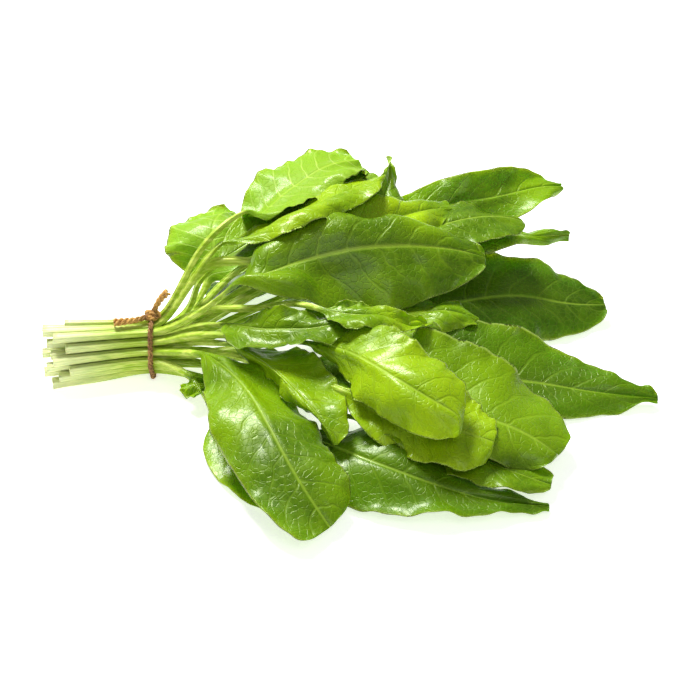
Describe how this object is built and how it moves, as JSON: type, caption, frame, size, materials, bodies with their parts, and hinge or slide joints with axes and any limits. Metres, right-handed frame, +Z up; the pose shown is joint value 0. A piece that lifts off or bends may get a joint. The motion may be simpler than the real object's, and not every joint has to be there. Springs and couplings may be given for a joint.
{
  "type": "sorrel bunch",
  "caption": "Bunch of fresh sorrel lying on its side: long pale stalks tied with a knotted jute cord, fanning out into overlapping oblong green leaves.",
  "frame": {"origin": "on the surface it lies on, under the middle of the bunch's box", "axes": "+X from the cut ends of the stalks towards the leaf tips, +Y towards the far side, +Z up from the surface the bunch lies on"},
  "size_m": [0.3096, 0.2672, 0.082],
  "materials": {
    "leaf": "fresh satin leaf, mid green with pale veins",
    "cord": "rough brown jute twine"
  },
  "bodies": {
    "root": {"back_curled_tip_leaf": "leaf", "back_left_low_leaf": "leaf", "bright_folded_leaf": "leaf", "centre_top_leaf": "leaf", "curled_lip_leaf": "leaf", "dark_inner_leaf": "leaf", "far_back_tip_leaf": "leaf", "far_right_leaf": "leaf", "far_top_leaf": "leaf", "front_hidden_leaf": "leaf", "front_left_leaf": "leaf", "front_tip_leaf": "leaf", "jute_cord": "cord", "left_back_leaf": "leaf", "low_back_leaf": "leaf", "low_front_leaf": "leaf", "pale_folded_leaf": "leaf", "right_back_leaf": "leaf", "right_leaf": "leaf", "rolled_leaf": "leaf", "rolled_tip_leaf": "leaf", "round_back_leaf": "leaf", "small_front_leaf": "leaf", "top_right_leaf": "leaf", "turned_back_leaf": "leaf", "under_bright_leaf": "leaf", "upper_right_leaf": "leaf", "wavy_leaf": "leaf"}
  },
  "joints": []
}
